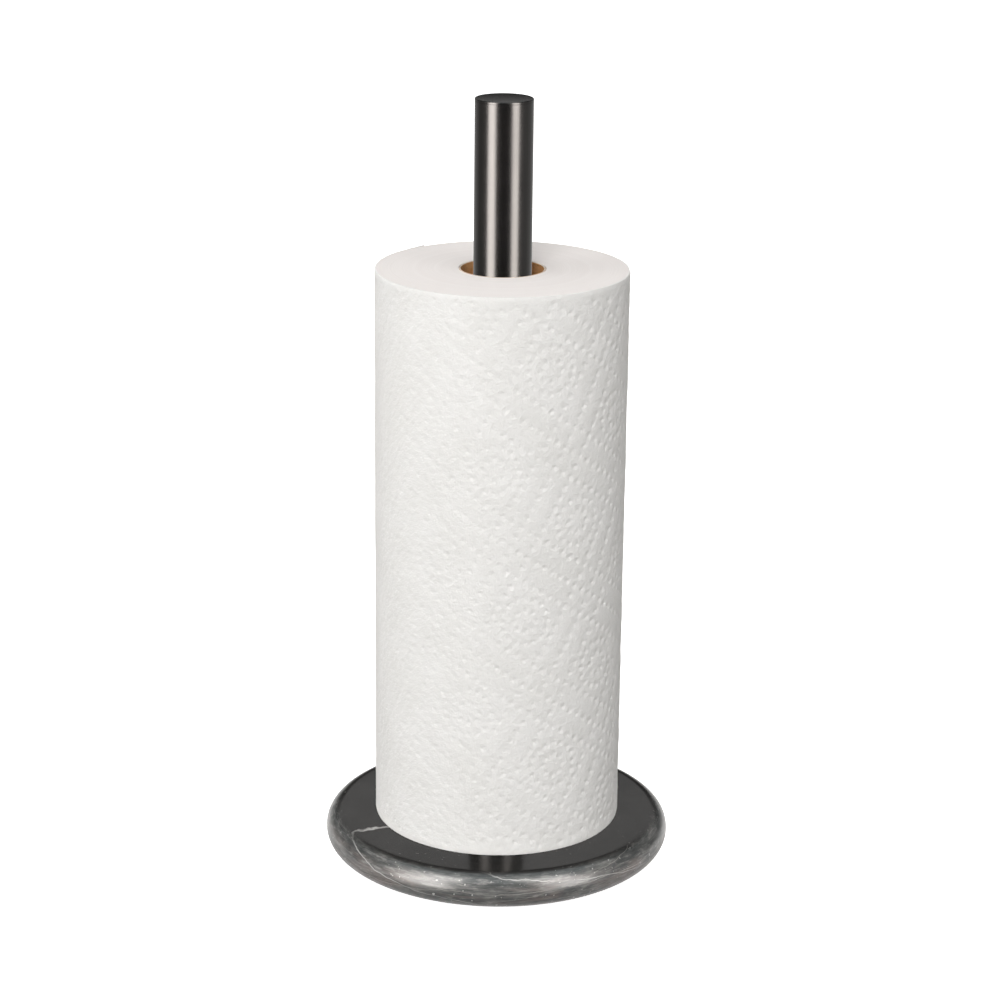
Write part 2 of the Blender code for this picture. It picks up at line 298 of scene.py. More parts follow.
def ring_of(bm, radius_at, level, steps):
    """A ring of vertices at one level, or a single vertex where its radius is nothing."""
    if radius_at(0, level) < SLIVER:
        return [bm.verts.new((0, 0, level))]
    ring = []
    for step in range(steps):
        angle = math.tau * step / steps
        radius = radius_at(angle, level)
        ring.append(bm.verts.new((radius * math.cos(angle), radius * math.sin(angle), level)))
    return ring


def round_ring(bm, radius, level, steps):
    return ring_of(bm, lambda angle, height: radius, level, steps)


def lathe(name, outline, steps=LATHE_STEPS):
    """Spins a closed outline of (distance from the axis, height) points about the axis."""
    bm = bmesh.new()
    rings = [round_ring(bm, radius, height, steps) for radius, height in outline]
    join_rings(bm, rings + rings[:1])
    return mesh_of(bm, name)


def bridge(bm, lower, upper):
    """Joins two rings of vertices by faces. Either ring may be a single vertex on the axis."""
    count = max(len(lower), len(upper))
    if count == 1:
        return
    for index in range(count):
        following = (index + 1) % count
        corners = []
        for ring, order in ((lower, (index, following)), (upper, (following, index))):
            corners += [ring[0]] if len(ring) == 1 else [ring[i] for i in order]
        bm.faces.new(corners)


def join_rings(bm, rings):
    for lower, upper in zip(rings, rings[1:]):
        bridge(bm, lower, upper)


def ring_outline(inner, outer, low, high, edge):
    """The section of a ring with rounded edges."""
    corners = (
        ((outer - edge, low + edge), -90),
        ((outer - edge, high - edge), 0),
        ((inner + edge, high - edge), 90),
        ((inner + edge, low + edge), 180),
    )
    outline = []
    for centre, start in corners:
        outline += arc(centre, edge, start, start + 90, EDGE_STEPS)
    return outline


# ---------------------------------------------------------------- embossed paper

def in_rows(column, row):
    """Whether a lattice position lies in one of the rows of pits, and not in an open cell."""
    return column % CELL_STEPS in ROW_STEPS or row % CELL_STEPS in ROW_STEPS


def lattice_place(column, row):
    """A lattice position, as (distance along the web, height)."""
    return Vector((FRONT_ALONG, 0)) + FIRST_ROSETTE + column * FALLING_STEP + row * RISING_STEP


def rosette(middle):
    """Pits on two rings about a middle."""
    pits = []
    for radius, count in ROSETTE_RINGS:
        for index in range(count):
            angle = math.tau * index / count
            pits.append(middle + radius * Vector((math.cos(angle), math.sin(angle))))
    return pits


def pits_between(start, end):
    """Centres of the pits on a stretch of the web, clear of its edges."""
    reach = int((abs(end - FRONT_ALONG) + abs(start - FRONT_ALONG) + ROLL_TOP) / RISING_STEP.length)
    pits = []
    for column in range(-reach, reach):
        for row in range(-reach, reach):
            if in_rows(column, row):
                pits.append(lattice_place(column, row))
            elif column % CELL_STEPS == 0 and row % CELL_STEPS == 0:
                pits += rosette(lattice_place(column, row))
    margin = PIT_REACH + EDGE_ROUNDING
    return [
        pit for pit in pits
        if start + margin < pit.x < end - margin and ROLL_BOTTOM + margin < pit.y < ROLL_TOP - margin
    ]


def tree_of(points):
    """A search tree that finds the point nearest to a place on the web."""
    tree = kdtree.KDTree(len(points))
    for index, point in enumerate(points):
        tree.insert((point.x, point.y, 0), index)
    tree.balance()
    return tree


def evenly(low, high, spacing):
    """Values from low to high, evenly spaced by as near to the spacing as fits."""
    count = max(1, round((high - low) / spacing))
    return [low + (high - low) * index / count for index in range(count + 1)]


def outline_points(start, end):
    """Points round a stretch of the web, counter-clockwise from its lower start corner, and the counts of
    points along it and up it."""
    alongs = evenly(start, end, EDGE_SPACING)
    levels = evenly(ROLL_BOTTOM, ROLL_TOP, EDGE_SPACING)
    points = [Vector((along, ROLL_BOTTOM)) for along in alongs[:-1]]
    points += [Vector((end, level)) for level in levels[:-1]]
    points += [Vector((along, ROLL_TOP)) for along in alongs[:0:-1]]
    points += [Vector((start, level)) for level in levels[:0:-1]]
    return points, len(alongs) - 1, len(levels) - 1


def edge_rows(start, end):
    """Points just inside the upper and lower edges, where the paper's edge is rounded."""
    points = []
    for inset_share, shift_share in EDGE_ROWS:
        inset = inset_share * EDGE_ROUNDING
        for along in evenly(start, end, EDGE_SPACING)[:-1]:
            place = along + shift_share * EDGE_SPACING
            points += [Vector((place, ROLL_BOTTOM + inset)), Vector((place, ROLL_TOP - inset))]
    return points


def fill_points(start, end, spacing, keep_clear, seed):
    """Scattered points on a stretch of the web, clear of the pits."""
    draw = random.Random(seed)
    margin = max(2 * EDGE_ROUNDING, FILL_MARGIN * spacing)
    points = []
    for along in evenly(start + margin, end - margin, spacing):
        for level in evenly(ROLL_BOTTOM + margin, ROLL_TOP - margin, spacing):
            scatter = (draw.uniform(-FILL_SCATTER, FILL_SCATTER), draw.uniform(-FILL_SCATTER, FILL_SCATTER))
            point = Vector((along, level)) + Vector(scatter) * spacing
            if keep_clear is None or keep_clear.find((point.x, point.y, 0))[2] > FILL_CLEARANCE:
                points.append(point)
    return points


def pit_points(pits):
    """Each pit's middle and the rings of mesh points that shape it.
    Every other ring is turned by half a step."""
    points = []
    for index, pit in enumerate(pits):
        points.append(pit)
        for ring, radius in enumerate(PIT_RINGS):
            for side in range(PIT_SIDES):
                angle = math.tau * (side + 0.5 * (ring % 2)) / PIT_SIDES + index
                points.append(pit + radius * Vector((math.cos(angle), math.sin(angle))))
    return points


def triangles_over(points):
    """Delaunay triangles, as indices into the points."""
    _, _, faces, origins, _, _ = delaunay_2d_cdt(points, [], [], 0, MERGE_DISTANCE)
    return [[origins[corner][0] for corner in face] for face in faces]


def eased(share):
    """A share from 0 to 1 that starts and ends gently."""
    share = min(1.0, max(0.0, share))
    return share * share * (3 - 2 * share)


def embossing_share(along):
    """The embossing stands prouder from the left of the front to its right."""
    turned = (along - FRONT_ALONG) / ROLL_RADIUS
    return PRESSED_SHARE + (PROUD_SHARE - PRESSED_SHARE) * eased(0.5 + turned / PRESSING_TURN)


def relief(point, tree):
    """Height of the embossed face over the smooth roll at a point of the web."""
    drop = EDGE_DROP * (1 - eased(min(point.y - ROLL_BOTTOM, ROLL_TOP - point.y) / EDGE_ROUNDING))
    wave = WAVE_HEIGHT * noise.noise((point.x / WAVE_LENGTH, point.y / WAVE_LENGTH, 0))
    if tree is None:
        return wave - drop - SURFACE_DROP
    gap = tree.find((point.x, point.y, 0))[2]
    pit = PIT_DEPTH * (1 - eased(gap / PIT_REACH))
    puff = PUFF_HEIGHT * eased(gap / PUFF_REACH)
    return wave + (puff - pit) * embossing_share(point.x) - drop - SURFACE_DROP


def on_roll(along, level, lift):
    """A point of the web where it lies on the roll, lifted off it by so much."""
    turned = along / ROLL_RADIUS
    radius = ROLL_RADIUS - TURN_PITCH * turned / math.tau + lift
    angle = LOOSE_ANGLE + turned
    return (radius * math.cos(angle), radius * math.sin(angle), level)


def tail_lift(along, level):
    """How far the loose end stands off the roll."""
    share = max(0.0, 1 - along / TAIL_LENGTH)
    waver = TAIL_WAVER * noise.noise((0, 0, level / (2 * WAVE_LENGTH)))
    return TAIL_LIFT * share * share * (1 + waver)


def torn_edge(along, level, start, end):
    """Moves points at the ends of a sheet out to the small bonds of the perforation."""
    bonded = level / BOND_PITCH % 1 < BOND_SHARE
    if bonded and along <= start:
        return along - SLIT_WIDTH
    if bonded and along >= end:
        return along + SLIT_WIDTH
    return along


def build_outer_sheet(paper):
    """The sheet that shows, a thin shell from the loose end to the first perforation."""
    start, end = 0.0, SHEET_LENGTH - SLIT_WIDTH
    border, _, _ = outline_points(start, end)
    pits = pits_between(start, end)
    tree = tree_of(pits)
    face_points = border + edge_rows(start, end) + pit_points(pits)
    face_points += fill_points(start, end, FILL_SPACING, tree, seed=1)
    back_points = border + fill_points(start, end, HIDDEN_SPACING, None, seed=2)
    places = []
    for points, thickness, embossed in ((face_points, 0.0, tree), (back_points, SHEET_THICKNESS, None)):
        for point in points:
            lift = tail_lift(point.x, point.y) - thickness + relief(point, embossed)
            places.append(on_roll(torn_edge(point.x, point.y, start, end), point.y, lift))
    faces = triangles_over(face_points)
    shift = len(face_points)
    faces += [[shift + corner for corner in reversed(face)] for face in triangles_over(back_points)]
    for index in range(len(border)):
        following = (index + 1) % len(border)
        faces.append((following, index, shift + index, shift + following))
    mesh = bpy.data.meshes.new("embossed_sheet")
    mesh.from_pydata(places, [], faces)
    hide_from_reflections(add_piece(smoothed(mesh), "paper_roll", ["outer_sheet"], "white_paper", paper))


def end_face(bm, rim, level, facing_up):
    """An end of the roll: rings from the outer turn to the bore, with the turns' edges a little uneven.
    The rim's last vertex is a full turn on from its first. Returns the ring at the bore."""
    count = len(rim) - 1
    outer = rim
    for step in range(1, END_RINGS + 1):
        share = step / END_RINGS
        inner = []
        for vertex in rim[:-1]:
            radius = math.hypot(vertex.co.x, vertex.co.y)
            placed = radius + (BORE_RADIUS - radius) * share
            unevenness = abs(noise.noise((placed / END_WAVE_LENGTH, 0, level))) if step < END_RINGS else 0
            height = level + END_WAVE * (-unevenness if facing_up else unevenness)
            scale = placed / radius
            inner.append(bm.verts.new((vertex.co.x * scale, vertex.co.y * scale, height)))
        for index in range(count):
            following = (index + 1) % count
            near = outer[index + 1] if step == 1 else outer[following]
            bm.faces.new((outer[index], near, inner[following], inner[index])).material_index = END_MATERIAL
        if step == 1:
            bm.faces.new((outer[count], outer[0], inner[0])).material_index = END_MATERIAL
        outer = inner
    return outer


def build_wound_paper(paper, paper_ends):
    """The rest of the web: its last turn is embossed where it shows, at the back, and plain under the sheet.
    The border's points come first: along the bottom, up the far side, back along the top and down."""
    start, end = SHEET_LENGTH, SHEET_LENGTH + TURN_LENGTH
    shown_end = TURN_LENGTH + TAIL_LENGTH
    border, columns, rows = outline_points(start, end)
    pits = pits_between(start, shown_end)
    tree = tree_of(pits)
    points = border + edge_rows(start, shown_end) + pit_points(pits)
    points += fill_points(start, shown_end, FILL_SPACING, tree, seed=3)
    points += fill_points(shown_end, end, HIDDEN_SPACING, None, seed=4)
    bm = bmesh.new()
    vertices = []
    for point in points:
        embossed = tree if point.x < shown_end else None
        vertices.append(bm.verts.new(on_roll(point.x, point.y, relief(point, embossed))))
    for face in triangles_over(points):
        bm.faces.new([vertices[corner] for corner in face])
    lower = vertices[:columns + 1]
    upper = vertices[columns + rows:2 * columns + rows + 1][::-1]
    end_side = vertices[columns:columns + rows + 1]
    start_side = [vertices[0]] + vertices[2 * columns + rows:2 * (columns + rows)][::-1]
    for index in range(rows):
        bm.faces.new((start_side[index], start_side[index + 1], end_side[index + 1], end_side[index]))
    lower_bore = end_face(bm, lower, ROLL_BOTTOM, facing_up=False)
    upper_bore = end_face(bm, upper, ROLL_TOP, facing_up=True)
    bridge(bm, lower_bore, upper_bore)
    mesh = mesh_of(bm, "wound_web")
    hide_from_reflections(add_piece(mesh, "paper_roll", ["wound_paper"], "white_paper", paper, paper_ends))


# ---------------------------------------------------------------- cardboard core

def build_core(cardboard):
    """A spirally wound tube, with a shallow step along the seam of its inner ply."""
    bottom, top = heights("cardboard_core")
    inner, outer = min(distances("cardboard_core")), max(distances("cardboard_core"))

    def ply_radius(angle, level):
        across = (level / SEAM_PITCH - angle / math.tau) % 1 * SEAM_PITCH
        step_in = eased(across / SEAM_WIDTH) * (1 - across / SEAM_PITCH)
        return inner + SEAM_DEPTH * (1 - step_in)

    bm = bmesh.new()
    low, high = bottom + CORE_EDGE, top - CORE_EDGE
    inside = [ring_of(bm, ply_radius, level, CORE_STEPS) for level in evenly(low, high, CORE_ROW_HEIGHT)]
    join_rings(bm, inside)
    outside = [round_ring(bm, outer, level, CORE_STEPS) for level in (low, high)]
    join_rings(bm, outside)
    for inner_ring, outer_ring, level in ((inside[0], outside[0], bottom), (inside[-1], outside[-1], top)):
        rim = round_ring(bm, inner + CORE_EDGE + SEAM_DEPTH, level, CORE_STEPS)
        shoulder = round_ring(bm, outer - CORE_EDGE, level, CORE_STEPS)
        join_rings(bm, [inner_ring, rim, shoulder, outer_ring])
    mesh = mesh_of(bm, "core_tube")
    hide_from_reflections(add_piece(mesh, "roll_core", ["cardboard_core"], "brown_cardboard", cardboard))


# ---------------------------------------------------------------- stone base

def foot_boxes():
    """Each foot's name with the low and high corners of its box."""
    names = sorted(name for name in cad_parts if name.startswith("rubber_foot"))
    return [(name, *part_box(name)) for name in names]


def drop_slivers(mesh):
    """Closes the faces of no area that a cut leaves along its edges."""
    bm = bmesh.new()
    bm.from_mesh(mesh)
    bmesh.ops.remove_doubles(bm, verts=bm.verts, dist=SLIVER)
    bmesh.ops.dissolve_degenerate(bm, dist=SLIVER, edges=bm.edges)
    bmesh.ops.triangulate(bm, faces=[face for face in bm.faces if len(face.verts) > 4])
    bmesh.ops.dissolve_degenerate(bm, dist=SLIVER, edges=bm.edges)
    bm.to_mesh(mesh)
    bm.free()


def applied_boolean(piece, cutters):
    """Cuts solids out of a piece's mesh, and removes the cutters."""
    for cutter in cutters:
        modifier = piece.modifiers.new(cutter.name, "BOOLEAN")
        modifier.operation = "DIFFERENCE"
        modifier.solver = "EXACT"
        modifier.object = cutter
    bpy.context.view_layer.update()
    evaluated = piece.evaluated_get(bpy.context.evaluated_depsgraph_get())
    whole = bpy.data.meshes.new_from_object(evaluated)
    piece.modifiers.clear()
    whole.name = piece.data.name
    drop_slivers(whole)
    piece.data = smoothed(whole, SHARP_DEGREES_WHERE_CUT)
    for cutter in cutters:
        bpy.data.objects.remove(cutter)


def base_outline():
    """The base's section: a full round edge, the post's seat above and the bolt's counterbore below."""
    bottom, top = heights("marble_base")
    radius = max(distances("marble_base"))
    nose = (top - bottom) / 2
    seat = min(radii_at("marble_base", top))
    counterbore = min(radii_at("marble_base", bottom))
    hole = min(distances("marble_base"))
    seat_floor = max(heights_at("marble_base", hole))
    counterbore_roof = min(heights_at("marble_base", hole))
    outline = arc((radius - nose, bottom + nose), nose, -90, 90, NOSE_STEPS)
    outline += arc((seat + STONE_EDGE, top - STONE_EDGE), STONE_EDGE, 90, 180, EDGE_STEPS)
    outline += [(seat, seat_floor), (hole, seat_floor)]
    outline += [(hole, counterbore_roof), (counterbore, counterbore_roof)]
    outline += arc((counterbore + STONE_EDGE, bottom + STONE_EDGE), STONE_EDGE, 180, 270, EDGE_STEPS)
    return outline


def cutter_of(mesh, place=(0, 0, 0)):
    """An object for a cutter's mesh. applied_boolean removes it."""
    cutter = bpy.data.objects.new(mesh.name, mesh)
    cutter.location = place
    bpy.context.scene.collection.objects.link(cutter)
    return cutter


def build_base(marble):
    """The stone, with a recess for each foot."""
    mesh = lathe("stone_base", base_outline(), BASE_STEPS)
    piece = add_piece(mesh, "holder", ["marble_base"], "dark_marble", marble)
    cutters = []
    for name, low, high in foot_boxes():
        radius = (high.x - low.x) / 2 + FOOT_CLEARANCE
        roof = high.z + FOOT_CLEARANCE
        section = [(0, -high.z), (radius, -high.z), (radius, roof), (0, roof)]
        recess = lathe(name + "_recess", section, FOOT_STEPS)
        cutters.append(cutter_of(recess, ((low.x + high.x) / 2, (low.y + high.y) / 2, 0)))
    applied_boolean(piece, cutters)


def build_feet(rubber):
    """Moulded feet with a rounded edge and a shallow dish underneath."""
    for name, low, high in foot_boxes():
        radius = (high.x - low.x) / 2
        dish_floor = low.z + DISH_DEPTH
        outline = [(0, dish_floor), (radius * DISH_FLOOR_SHARE, dish_floor)]
        outline += [(radius * DISH_SHARE, low.z + DISH_LIP)]
        outline += arc((radius - FOOT_ROUNDING, low.z + FOOT_ROUNDING), FOOT_ROUNDING, -90, 0, ROUNDING_STEPS)
        outline += arc((radius - RUBBER_EDGE, high.z - RUBBER_EDGE), RUBBER_EDGE, 0, 90, EDGE_STEPS)
        outline += [(0, high.z)]
        mesh = lathe(name.replace("rubber_foot", "moulded_foot"), outline, FOOT_STEPS)
        mesh.transform(Matrix.Translation(((low.x + high.x) / 2, (low.y + high.y) / 2, 0)))
        add_piece(mesh, "holder", [name], "black_rubber", rubber)


# ---------------------------------------------------------------- post and hardware

def build_rings(materials):
    """Plain turned rings, with their edges broken."""
    rings = (
        ("threaded_plug", "foot_plug", "zinc_plated_steel", 2 * METAL_EDGE),
        ("plain_washer", "flat_washer", "zinc_plated_steel", METAL_EDGE),
        ("rubber_gasket", "post_gasket", "black_rubber", RUBBER_EDGE),
    )
    for name, node, slot, edge in rings:
        inner, outer = min(distances(node)), max(distances(node))
        mesh = lathe(name, ring_outline(inner, outer, *heights(node), edge))
        add_piece(mesh, "holder", [node], slot, materials[slot])


def build_tube(steel):
    """The post's tube, drawn up close under the cap's flange so that the seam is a hairline."""
    inner, outer = min(distances("post_tube")), max(distances("post_tube"))
    low = heights("post_tube")[0]
    high = min(heights_at("post_cap", max(distances("post_cap")))) - SEAM_GAP
    mesh = lathe("steel_tube", ring_outline(inner, outer, low, high, SEAM_EDGE))
    add_piece(mesh, "holder", ["post_tube"], "gunmetal_steel", steel)


def build_cap(steel):
    """The cap: a thin flange with a rounded edge on a hollow spigot."""
    bottom, top = heights("post_cap")
    outer = max(distances("post_cap"))
    spigot_outer = max(radii_at("post_cap", bottom))
    spigot_inner = min(radii_at("post_cap", bottom))
    flange_under = min(heights_at("post_cap", outer))
    roof = max(heights_at("post_cap", spigot_inner))
    outline = [(spigot_inner, bottom), (spigot_outer - METAL_EDGE, bottom)]
    outline += [(spigot_outer, bottom + METAL_EDGE), (spigot_outer, flange_under)]
    outline += [(outer - SEAM_EDGE, flange_under), (outer, flange_under + SEAM_EDGE)]
    outline += arc((outer - CAP_ROUNDING, top - CAP_ROUNDING), CAP_ROUNDING, 0, 90, ROUNDING_STEPS)
    outline += [(0, top), (0, roof), (spigot_inner, roof)]
    add_piece(lathe("post_button", outline), "holder", ["post_cap"], "gunmetal_steel", steel)


def bolt_socket():
    """A six-sided cutter for the bolt's socket, with the point that a drill leaves."""
    bottom = heights("clamp_bolt")[0]
    corner = SOCKET_FLATS / math.sqrt(3)
    below, floor = bottom - SOCKET_DEPTH, bottom + SOCKET_DEPTH
    outline = [(0, below), (corner, below), (corner, floor), (0, floor + SOCKET_POINT)]
    return cutter_of(lathe("socket", outline, SOCKET_SIDES))


def thread_radius(outer, angle, level):
    """Radius of a screw thread with sloping flanks."""
    phase = (level / THREAD_PITCH - angle / math.tau) % 1
    flank = min(1.0, max(0.0, abs(2 * phase - 1) * FLANK_SLOPE - FLANK_OFFSET))
    return outer - THREAD_DEPTH * flank


def build_bolt(zinc):
    """The clamp bolt: a domed head with a socket, and a threaded shank."""
    bottom, top = heights("clamp_bolt")
    head_radius = max(distances("clamp_bolt"))
    shank_radius = max(radii_at("clamp_bolt", top))
    head_top = max(heights_at("clamp_bolt", head_radius))
    dome_middle = (head_radius - HEAD_ROUNDING, bottom + HEAD_ROUNDING)
    outline = [(0, bottom), (HEAD_FLAT_SHARE * head_radius, bottom)]
    outline += arc(dome_middle, HEAD_ROUNDING, HEAD_ARC_START, 0, ROUNDING_STEPS)
    outline += [(head_radius, head_top - METAL_EDGE), (head_radius - METAL_EDGE, head_top)]
    outline += [(shank_radius, head_top), (shank_radius, head_top + THREAD_PITCH)]

    def shank_thread(angle, level):
        return thread_radius(shank_radius, angle, level)

    bm = bmesh.new()
    rings = [round_ring(bm, radius, height, THREAD_STEPS) for radius, height in outline]
    for level in evenly(head_top + THREAD_PITCH, top - THREAD_PITCH, THREAD_PITCH / THREAD_ROWS)[1:]:
        rings.append(ring_of(bm, shank_thread, level, THREAD_STEPS))
    rings.append(round_ring(bm, shank_radius - THREAD_DEPTH, top, THREAD_STEPS))
    rings.append(round_ring(bm, 0, top, THREAD_STEPS))
    join_rings(bm, rings)
    piece = add_piece(mesh_of(bm, "socket_bolt"), "holder", ["clamp_bolt"], "zinc_plated_steel", zinc)
    applied_boolean(piece, [bolt_socket()])


# ---------------------------------------------------------------- materials

def new_material(name, colour, roughness, **sockets):
    """A material with its uniform values set on the shader's own sockets."""
    material = bpy.data.materials.new(name)
    material.use_nodes = True
    shader = material.node_tree.nodes["Principled BSDF"]
    shader.inputs["Base Color"].default_value = (*colour, 1)
    shader.inputs["Roughness"].default_value = roughness
    for socket, value in sockets.items():
        shader.inputs[socket.replace("_", " ")].default_value = value
    return material


def add_node(material, kind, inputs, **settings):
    """Adds a node. Inputs are given by name or place, as sockets to join or as values."""
    node = material.node_tree.nodes.new(kind)
    for setting, value in settings.items():
        setattr(node, setting, value)
    for socket, value in inputs.items():
        if isinstance(value, bpy.types.NodeSocket):
            material.node_tree.links.new(value, node.inputs[socket])
        else:
            node.inputs[socket].default_value = value
    return node


def scaled_place(material, scale=(1, 1, 1)):
    """The place on the piece in metres, multiplied by a number for each axis."""
    place = add_node(material, "ShaderNodeTexCoord", {}).outputs["Object"]
    return add_node(material, "ShaderNodeMapping", {"Vector": place, "Scale": scale}).outputs["Vector"]


def noise_at(material, place, scale, detail=2.0, roughness=0.5, distortion=0.0):
    inputs = {"Vector": place, "Scale": scale, "Detail": detail}
    inputs |= {"Roughness": roughness, "Distortion": distortion}
    return add_node(material, "ShaderNodeTexNoise", inputs).outputs["Fac"]


def remapped(material, value, low, high, to_low=0.0, to_high=1.0):
    """Carries values from low to high over to another range, and holds them there."""
    inputs = {"Value": value, "From Min": low, "From Max": high, "To Min": to_low, "To Max": to_high}
    return add_node(material, "ShaderNodeMapRange", inputs, clamp=True).outputs["Result"]


def calculated(material, operation, first, second=0.0):
    return add_node(material, "ShaderNodeMath", {0: first, 1: second}, operation=operation).outputs["Value"]


def mixed(material, factor, first, second):
    """A colour between two colours, each a socket or three numbers."""
    values = [factor]
    for colour in (first, second):
        values.append(colour if isinstance(colour, bpy.types.NodeSocket) else (*colour, 1))
    inputs = dict(zip(MIX_INPUTS, values))
    return add_node(material, "ShaderNodeMix", inputs, data_type="RGBA").outputs[MIX_OUTPUT]


def bumped(material, height, distance, normal=None):
    """A normal bumped by a height, over another normal if one is given."""
    inputs = {"Height": height, "Distance": distance, "Strength": 1.0}
    if normal:
        inputs["Normal"] = normal
    return add_node(material, "ShaderNodeBump", inputs).outputs["Normal"]


def upwardness(material):
    """How far the surface faces up, from -1 to 1."""
    facing = add_node(material, "ShaderNodeNewGeometry", {}).outputs["Normal"]
    return add_node(material, "ShaderNodeSeparateXYZ", {"Vector": facing}).outputs["Z"]


def join(material, **sockets):
    """Joins outputs to the shader's inputs."""
    shader = material.node_tree.nodes["Principled BSDF"]
    for socket, output in sockets.items():
        material.node_tree.links.new(output, shader.inputs[socket.replace("_", " ")])


def paper_material():
    """Soft white tissue: fibres, cloudy thickness and a fine pebbled grain."""
    material = new_material("Paper", (0.86, 0.85, 0.825), 0.92, Specular_IOR_Level=0.15)
    plain = scaled_place(material)
    cloud = noise_at(material, plain, 45, 3)
    fibre = noise_at(material, scaled_place(material, (500, 500, 900)), 1, 3, 0.6)
    thickness = remapped(material, cloud, 0.35, 0.65)
    tint = mixed(material, thickness, (0.845, 0.835, 0.808), (0.875, 0.865, 0.842))
    colour = mixed(material, remapped(material, fibre, 0.4, 0.75, 0, 0.35), tint, (0.80, 0.79, 0.765))
    pucker = noise_at(material, plain, 420, 2)
    grain = noise_at(material, plain, 1100, 3, 0.6)
    normal = bumped(material, pucker, 0.35 * MM)
    normal = bumped(material, grain, 0.22 * MM, normal=normal)
    normal = bumped(material, fibre, 0.05 * MM, normal=normal)
    join(material, Base_Color=colour, Normal=normal)
    return material


def paper_end_material():
    """The cut ends of the web, where its turns show as faint rings."""
    material = new_material("PaperEnds", (0.84, 0.825, 0.80), 0.95, Specular_IOR_Level=0.1)
    flat = scaled_place(material, (1, 1, 0))
    distance = add_node(material, "ShaderNodeVectorMath", {0: flat}, operation="LENGTH").outputs["Value"]
    wobble = noise_at(material, flat, 60, 2)
    shifted = calculated(material, "ADD", distance, calculated(material, "MULTIPLY", wobble, 1.5 * MM))
    along_radius = add_node(material, "ShaderNodeCombineXYZ", {"X": shifted}).outputs["Vector"]
    turns = noise_at(material, along_radius, 1900, 1)
    bands = noise_at(material, along_radius, 260, 2)
    fibre = noise_at(material, flat, 1400, 2, 0.6)
    banding = remapped(material, bands, 0.3, 0.7)
    colour = mixed(material, banding, (0.842, 0.798, 0.775), (0.868, 0.830, 0.808))
    colour = mixed(material, remapped(material, turns, 0.45, 0.7, 0, 0.3), colour, (0.74, 0.725, 0.70))
    normal = bumped(material, turns, 0.10 * MM)
    normal = bumped(material, fibre, 0.10 * MM, normal=normal)
    join(material, Base_Color=colour, Normal=normal)
    return material


def veined(material, colour, place, unevenness, vein):
    """A thin pale line where a wavering plane in the stone meets its surface."""
    direction, distance, half_width, tone = vein
    along = add_node(material, "ShaderNodeVectorMath", {0: place, 1: direction}, operation="DOT_PRODUCT")
    reached = calculated(material, "ADD", along.outputs["Value"], unevenness)
    off_line = calculated(material, "SUBTRACT", reached, distance + MEAN_UNEVENNESS)
    line = remapped(material, calculated(material, "ABSOLUTE", off_line), 0.0, half_width, 1, 0)
    patches = noise_at(material, scaled_place(material, (30, 30, 90)), 1, 3)
    shown = remapped(material, patches, 0.38, 0.56, 0, 0.85)
    return mixed(material, calculated(material, "MULTIPLY", line, shown), colour, tone)


